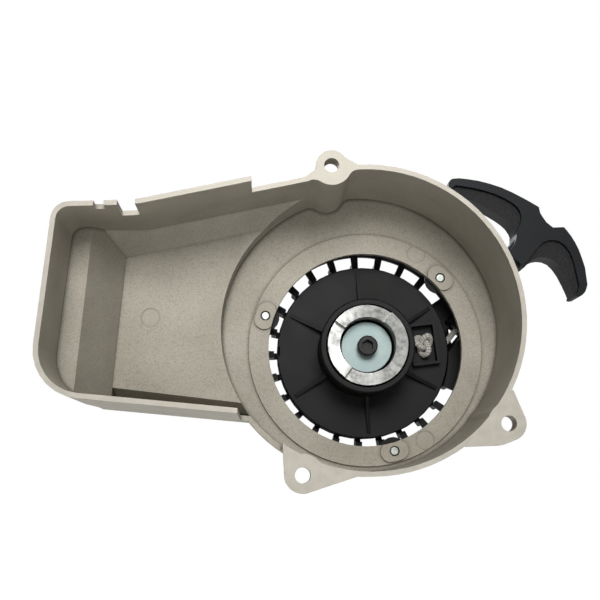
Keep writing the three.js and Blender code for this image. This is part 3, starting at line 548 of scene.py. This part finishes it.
class MakeCover(bpy.types.Operator):
    """Finish the die-cast cover and its rivets"""

    bl_idname = "starter.cover"
    bl_label = "Side cover"

    def execute(self, context):
        finish = context.scene.starter_finish
        cover = finished_copy(
            "side_cover", "cover_casting", "cover", ["cast", "milled"], "cast_aluminium", finish.casting_edge
        )
        milled_levels = (0.0, COVER_LOW.y)
        paint_faces(
            cover,
            1,
            lambda centre, normal: normal.y < -0.99
            and any(abs(centre.y - level) < LEVEL_TOLERANCE for level in milled_levels),
        )
        for count in (1, 2, 3):
            node = f"rivet_{count}"
            edge = finish.machined_edge
            finished_copy(node, f"{node}_body", "cover", ["peened"], "rivet_aluminium", edge)
        return {"FINISHED"}


class MakeMoulded(bpy.types.Operator):
    """Finish the moulded housing and the rope reel"""

    bl_idname = "starter.moulded"
    bl_label = "Housing and reel"

    def execute(self, context):
        edge = context.scene.starter_finish.moulded_edge
        finished_copy("starter_housing", "housing_shell", "cover", ["nylon"], "black_plastic", edge)
        finished_copy("reel", "reel_body", "reel", ["nylon"], "black_plastic", edge)
        return {"FINISHED"}


class MakeCentre(bpy.types.Operator):
    """Finish the dog ring and the pieces of the centre stack"""

    bl_idname = "starter.centre"
    bl_label = "Centre stack"

    def execute(self, context):
        edge = context.scene.starter_finish.machined_edge
        finished_copy("dog_ring", "dog_ring_teeth", "dog", ["steel"], "worn_steel", edge * 1.5)
        finished_copy("retaining_washer", "washer_plate", "cover", ["zinc"], "zinc_plate", edge)
        finished_copy("centre_screw", "screw_body", "cover", ["oxide"], "black_oxide", edge * 1.4)
        finished_copy("rope_guide", "guide_ferrule", "cover", ["zinc"], "zinc_plate", edge)
        finished_copy("reel_bush", "bush_sleeve", "reel", ["bronze"], "bronze", edge)
        for node in ("centre_post", "thrust_washer", "spring_cup", "recoil_spring"):
            finished_copy(node, f"{node}_steel", "cover", ["spring"], "spring_steel", edge)
        return {"FINISHED"}


# ---- rope ----


def rope_mesh(name, path, rope, sides):
    """A braided rope along a list of points, with its braid in the mesh and as attributes."""
    radius = rope.diameter / 2
    lengths = [0.0]
    for before, after in zip(path, path[1:]):
        lengths.append(lengths[-1] + (after - before).length)
    last = len(path) - 1
    tangents = [(path[min(i + 1, last)] - path[max(i - 1, 0)]).normalized() for i in range(last + 1)]
    side = tangents[0].orthogonal().normalized()
    points, heights, faces = [], [], []
    for spot, tangent, run in zip(path, tangents, lengths):
        side = (side - tangent * side.dot(tangent)).normalized()
        up = tangent.cross(side)
        for k in range(sides):
            angle = tau * k / sides
            turn = tau * run / rope.braid_pitch
            over = cos(rope.strands * (angle + turn)) * cos(rope.strands * (angle - turn))
            lift = radius * (1 - BRAID_DEPTH + BRAID_DEPTH * over)
            points.append(spot + side * cos(angle) * lift + up * sin(angle) * lift)
            heights.append(0.5 + 0.5 * over)
    for i in range(last):
        for k in range(sides):
            after = (k + 1) % sides
            faces.append((i * sides + k, i * sides + after, (i + 1) * sides + after, (i + 1) * sides + k))
    faces.append(tuple(reversed(range(sides))))
    faces.append(tuple(range(last * sides, (last + 1) * sides)))
    mesh = bpy.data.meshes.new(name)
    mesh.from_pydata(points, [], faces)
    mesh.attributes.new("braid_height", "FLOAT", "POINT").data.foreach_set("value", heights)
    wrap = mesh.uv_layers.new(name="wrap")
    for loop in mesh.loops:
        row, spoke = divmod(loop.vertex_index, sides)
        wrap.data[loop.index].uv = (spoke / sides, lengths[row] / rope.braid_pitch)
    obj = bpy.data.objects.new(name, mesh)
    bpy.context.scene.collection.objects.link(obj)
    only(obj)
    bpy.ops.object.shade_smooth()
    return obj


def knot_path(centre, across, along, size):
    """Points round an overhand knot pulled tight."""
    deep = across.cross(along)
    path = []
    for k in range(KNOT_STEPS + 1):
        t = tau * k / KNOT_STEPS
        out = (sin(t) + 2 * sin(2 * t)) * size
        over = (cos(t) - 2 * cos(2 * t)) * size * 1.3
        path.append(centre + across * out + along * over - deep * sin(3 * t) * size * 1.5)
    return path


def straight(start, end, step):
    """Points every step or so from start to end."""
    count = max(2, ceil((end - start).length / step))
    return [start.lerp(end, k / count) for k in range(count + 1)]


def rope_line_point(low, high, share):
    """A point on the rope's line, between the ends of a straight rope node."""
    middle = (low + high) / 2
    across = Vector((PULL.z, 0, PULL.x))
    extent = Vector((high.x - low.x, 0, high.z - low.z))
    radius = (high.y - low.y) / 2
    length = (extent.x - 2 * radius * abs(across.x)) / abs(PULL.x)
    return middle + PULL * length * (share - 0.5)


class MakeRope(bpy.types.Operator):
    """Model the braided rope: its turns on the reel, its knot, its lead and its tail"""

    bl_idname = "starter.rope"
    bl_label = "Rope"

    def execute(self, context):
        rope = context.scene.starter_rope
        self.lead(rope)
        self.tail(rope)
        self.turns(rope)
        self.knots(rope)
        return {"FINISHED"}

    def lead(self, rope):
        start = rope_line_point(ROPE_LOW, ROPE_HIGH, 0.0)
        end = rope_line_point(ROPE_LOW, ROPE_HIGH, 1.0)
        reach = start - PULL * LEAD_REACH
        lead = rope_mesh("rope_lead_braid", straight(reach, end, ROPE_STEP), rope, sides=32)
        lead.data.materials.append(material("rope"))
        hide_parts("rope_lead")
        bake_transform(lead)

    def tail(self, rope):
        start = rope_line_point(TAIL_LOW, TAIL_HIGH, 0.0)
        end = rope_line_point(TAIL_LOW, TAIL_HIGH, 1.0)
        tail = rope_mesh("rope_tail_braid", straight(start, end, ROPE_STEP * 2), rope, sides=16)
        dress(tail, "handle", ["rope"], "rope", "rope_tail")

    def turns(self, rope):
        radius = rope.diameter / 2
        outer = COIL_HIGH.x - radius
        depths = (COIL_LOW.y + radius, COIL_HIGH.y - radius)
        path = []
        count = LAYER_TURNS * COIL_STEPS
        for layer, track in enumerate((outer - rope.diameter * LAYER_PITCH, outer)):
            for k in range(count + 1):
                share = 1 - k / count if layer else k / count
                angle = tau * k / COIL_STEPS + layer * LAYER_TURN
                depth = depths[0] + (depths[1] - depths[0]) * share
                path.append(Vector((track * cos(angle), depth, -track * sin(angle))))
        turns = rope_mesh("rope_turns_braid", path, rope, sides=12)
        dress(turns, "reel", ["rope"], "rope", "rope_coils")

    def knots(self, rope):
        middle = (KNOT_LOW + KNOT_HIGH) / 2
        outward = Vector((middle.x, 0, middle.z)).normalized()
        along = outward.cross(REEL_AXIS)
        centre = Vector((middle.x, KNOT_LOW.y + REEL_KNOT_RISE, middle.z))
        knot = rope_mesh("rope_knot_braid", knot_path(centre, outward, along, REEL_KNOT), rope, sides=24)
        dress(knot, "reel", ["rope"], "rope", "rope_knot")
        low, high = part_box("handle_knot")
        across = PULL.cross(REEL_AXIS)
        tight = knot_path((low + high) / 2, REEL_AXIS, across, HANDLE_KNOT)
        inner = rope_mesh("handle_knot_braid", tight, rope, sides=16)
        dress(inner, "handle", ["rope"], "rope", "handle_knot")


# ---- springs ----


class MakeDogSpring(bpy.types.Operator):
    """Model the spring under the dog ring as a fixed coil; the real one shortens as the ring slides in"""

    bl_idname = "starter.dog_spring"
    bl_label = "Dog spring"

    def execute(self, context):
        low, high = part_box("dog_spring")
        wire = DOG_WIRE_RADIUS
        bpy.ops.object.select_all(action="DESELECT")
        bpy.ops.mesh.primitive_circle_add(vertices=12, radius=wire, location=(high.x - wire, low.y + wire, 0))
        spring = context.active_object
        spring.name = "dog_spring_wire"
        bpy.ops.object.transform_apply(location=True, rotation=True, scale=True)
        winding = spring.modifiers.new("Winding", "SCREW")
        winding.axis = "Y"
        winding.angle = tau
        winding.iterations = DOG_SPRING_TURNS
        winding.screw_offset = (high.y - low.y - 2 * wire) / DOG_SPRING_TURNS
        winding.steps = 40
        bpy.ops.object.modifier_apply(modifier=winding.name)
        bpy.ops.object.mode_set(mode="EDIT")
        bpy.ops.mesh.select_all(action="SELECT")
        bpy.ops.mesh.fill_holes(sides=0)
        bpy.ops.mesh.select_all(action="SELECT")
        bpy.ops.mesh.normals_make_consistent(inside=False)
        bpy.ops.object.mode_set(mode="OBJECT")
        bpy.ops.object.shade_smooth_by_angle(angle=radians(50))
        dress(spring, "reel", ["spring"], "spring_steel", "dog_spring")
        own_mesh(spring)
        return {"FINISHED"}


# ---- handle ----


class MakeHandle(bpy.types.Operator):
    """Finish the pull handle: rounded outside, crisp steps round its grained finger rests"""

    bl_idname = "starter.handle"
    bl_label = "Pull handle"

    def execute(self, context):
        finish = context.scene.starter_finish
        grip = copy_of("handle_grip", "grip_moulding")
        step = self.rest_depth()
        self.round_outside(grip, finish.grip_edge)
        bevel_edges(grip, STEP_EDGE, angle=STEP_SHARP_OVER)
        dress(grip, "handle", ["smooth", "grain"], "handle_plastic", "handle_grip")
        paint_faces(
            grip,
            1,
            lambda centre, normal: abs(normal.y) > 0.9
            and abs(abs(centre.y - (GRIP_LOW.y + GRIP_HIGH.y) / 2) - step) < LEVEL_TOLERANCE,
        )
        finished_copy("handle_cap", "grip_plug", "handle", ["smooth"], "handle_plastic", PLUG_EDGE)
        return {"FINISHED"}

    def rest_depth(self):
        """How far the finger rests lie from the grip's middle plane."""
        return (GRIP_HIGH.y - GRIP_LOW.y) / 2 - REST_STEP

    def round_outside(self, grip, radius):
        """Rounds the rim of the grip's two broad faces."""
        only(grip)
        bpy.ops.object.mode_set(mode="EDIT")
        bpy.ops.mesh.select_mode(type="EDGE")
        mesh = bmesh.from_edit_mesh(grip.data)
        for edge in mesh.edges:
            if len(edge.link_faces) != 2 or edge.calc_face_angle(0) < radians(RIM_ANGLE):
                continue
            broad = [f for f in edge.link_faces if abs(f.normal.y) > 0.99]
            walls = [f for f in edge.link_faces if abs(f.normal.y) < 0.2]
            if len(broad) == 1 and len(walls) == 1:
                level = edge.verts[0].co.y
                outer = any(abs(level - side) < RIM_TOLERANCE for side in (GRIP_LOW.y, GRIP_HIGH.y))
                levels = [v.co.y for v in walls[0].verts]
                edge.select_set(outer and max(levels) - min(levels) > TALL_WALL)
        bmesh.update_edit_mesh(grip.data)
        bpy.ops.mesh.bevel(offset=radius, segments=4, affect="EDGES", clamp_overlap=True)
        bpy.ops.mesh.select_all(action="DESELECT")
        bpy.ops.object.mode_set(mode="OBJECT")


# ---- stage ----


class SetStage(bpy.types.Operator):
    """Lay the floor, hang the lights and place the camera"""

    bl_idname = "starter.stage"
    bl_label = "Stage"

    def execute(self, context):
        stage = context.scene.starter_stage
        self.floor(stage)
        self.lights(stage)
        self.room(context, stage)
        self.camera(context, stage)
        return {"FINISHED"}

    def floor(self, stage):
        bpy.ops.object.select_all(action="DESELECT")
        bpy.ops.mesh.primitive_plane_add(size=FLOOR_SIZE, location=(0, 0, -stage.floor_drop))
        floor = bpy.context.active_object
        floor.name = "studio_floor"
        paper, tree, shader, place = new_material("paper_floor_matt", Roughness=0.9)
        shader.inputs["Base Color"].default_value = [*stage.floor_colour, 1]
        shader.inputs["Emission Color"].default_value = (1, 1, 1, 1)
        seen = add(tree, "ShaderNodeLightPath").outputs["Is Camera Ray"]
        glow = add(tree, "ShaderNodeMath", {0: seen, 1: FLOOR_GLOW}, operation="MULTIPLY")
        tree.links.new(glow.outputs[0], shader.inputs["Emission Strength"])
        floor.data.materials.append(paper)

    def lights(self, stage):
        for name, spot, aim, power, size in (
            ("key_light", (-0.03, -1.05, 0.44), (-0.02, 0.0, 0.0), stage.key_power, 0.5),
            ("high_light", (0.1, -0.15, 0.75), (0.0, 0.03, 0.0), stage.high_power, 0.5),
            ("back_light", (-0.45, 0.95, 0.5), (0.0, 0.05, 0.0), stage.back_power, 0.6),
        ):
            lamp = bpy.data.lights.new(name, "AREA")
            lamp.energy = power
            lamp.size = size
            light = bpy.data.objects.new(name, lamp)
            bpy.context.scene.collection.objects.link(light)
            light.location = spot
            light.rotation_euler = (Vector(aim) - Vector(spot)).to_track_quat("-Z", "Y").to_euler()

    def room(self, context, stage):
        world = bpy.data.worlds.new("studio_room")
        context.scene.world = world
        world.use_nodes = True
        tree = world.node_tree
        tree.nodes.clear()
        seen = add(tree, "ShaderNodeBackground", {"Color": (1, 1, 1, 1), "Strength": 1.0})
        skyward = add(tree, "ShaderNodeTexCoord").outputs["Generated"]
        height = add(tree, "ShaderNodeSeparateXYZ", {"Vector": skyward})
        falloff = ramp(tree, height.outputs["Z"], [(0.0, "#8c8c8c"), (0.35, "#d8d8d8"), (0.7, "#ffffff")])
        lit = add(tree, "ShaderNodeBackground", {"Color": falloff, "Strength": stage.room_light})
        path = add(tree, "ShaderNodeLightPath")
        both = add(
            tree,
            "ShaderNodeMixShader",
            {0: path.outputs["Is Camera Ray"], 1: lit.outputs[0], 2: seen.outputs[0]},
        )
        add(tree, "ShaderNodeOutputWorld", {"Surface": both.outputs[0]})
        context.scene.view_settings.view_transform = "Standard"

    def camera(self, context, stage):
        data = bpy.data.cameras.new("viewpoint")
        data.lens = stage.lens
        data.sensor_width = 36
        camera = bpy.data.objects.new("viewpoint", data)
        context.scene.collection.objects.link(camera)
        camera.location = CAMERA_PLACE
        camera.rotation_euler = (radians(90 + CAMERA_RISE), 0, radians(CAMERA_TURN))
        data.clip_start = 0.01
        context.scene.camera = camera


class StarterPanel(bpy.types.Panel):
    """Lists the starter's operators in the sidebar"""

    bl_label = "Recoil starter"
    bl_idname = "STARTER_PT_pieces"
    bl_space_type = "VIEW_3D"
    bl_region_type = "UI"
    bl_category = "Starter"

    def draw(self, context):
        for operator in OPERATORS:
            self.layout.operator(operator.bl_idname)


OPERATORS = (SetStage, MakeCover, MakeMoulded, MakeCentre, MakeRope, MakeDogSpring, MakeHandle)
SETTINGS = {"starter_stage": StageSettings, "starter_finish": FinishSettings, "starter_rope": RopeSettings}


def register():
    """Registers the settings, the operators and the panel."""
    for kind in (*SETTINGS.values(), *OPERATORS, StarterPanel):
        bpy.utils.register_class(kind)
    for name, kind in SETTINGS.items():
        setattr(bpy.types.Scene, name, bpy.props.PointerProperty(type=kind))


def unregister():
    """Takes away what register added."""
    for name in SETTINGS:
        delattr(bpy.types.Scene, name)
    for kind in (StarterPanel, *reversed(OPERATORS), *SETTINGS.values()):
        bpy.utils.unregister_class(kind)


def main():
    """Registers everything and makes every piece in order."""
    register()
    for operator in OPERATORS:
        group, name = operator.bl_idname.split(".")
        getattr(getattr(bpy.ops, group), name)()


if __name__ == "__main__":
    main()
